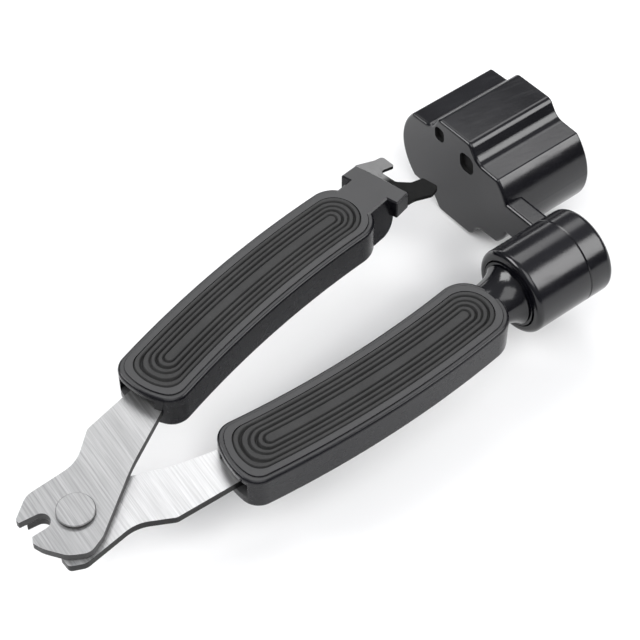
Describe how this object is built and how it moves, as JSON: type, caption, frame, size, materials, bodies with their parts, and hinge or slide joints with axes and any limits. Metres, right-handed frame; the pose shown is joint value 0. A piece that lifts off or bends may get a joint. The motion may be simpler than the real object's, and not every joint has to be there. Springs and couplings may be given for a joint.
{
  "type": "string winder",
  "caption": "Pliers-style guitar tool: string cutter jaws, forked bridge-pin puller on one handle and a free-turning crank with a fluted peg cup on the other.",
  "frame": {"origin": "on the pivot's axis, in the plane where the two cutter blades meet", "axes": "+Z along the pivot, up out of the rivet's head; +X from the pivot towards the crank, on the line of symmetry between the handles; +Y towards the puller handle"},
  "size_m": [0.1689, 0.0691, 0.0309],
  "materials": {
    "black_plastic": "satin gloss moulded black",
    "grip_rubber": "matte with moulded grooves",
    "blade_steel": "fine brushed stainless",
    "fork_steel": "blackened steel, worn bright at one prong",
    "pin_steel": "plain turned steel",
    "bush_plastic": "natural acetal"
  },
  "bodies": {
    "winder_half": {"winder_handle": "black_plastic", "winder_pad_top": "grip_rubber", "winder_pad_bottom": "grip_rubber", "winder_blade": "blade_steel", "winder_tang_pin_front": "pin_steel", "winder_tang_pin_rear": "pin_steel", "pivot_rivet": "blade_steel", "pivot_washer_lower": "blade_steel", "winder_stem": "black_plastic", "thrust_washer": "pin_steel", "crank_screw": "pin_steel", "screw_washer": "pin_steel"},
    "puller_half": {"puller_handle": "black_plastic", "puller_pad_top": "grip_rubber", "puller_pad_bottom": "grip_rubber", "puller_blade": "blade_steel", "puller_tang_pin_front": "pin_steel", "puller_tang_pin_rear": "pin_steel", "pin_puller_fork": "fork_steel", "fork_pin": "pin_steel"},
    "crank": {"crank_sleeve": "black_plastic", "crank_moulding": "black_plastic", "crank_bush": "bush_plastic", "crank_cap": "black_plastic"}
  },
  "joints": [
    {"name": "plier_pivot", "type": "hinge", "parent": "winder_half", "child": "puller_half", "pos_m": [0, 0, 0], "axis": [0, 0, 1], "range_deg": [-10, 25]},
    {"name": "crank_spin", "type": "hinge", "parent": "winder_half", "child": "crank", "pos_m": [0.11122, -0.02, -0.0003], "axis": [0.9956, -0.0936, 0], "continuous": true}
  ]
}
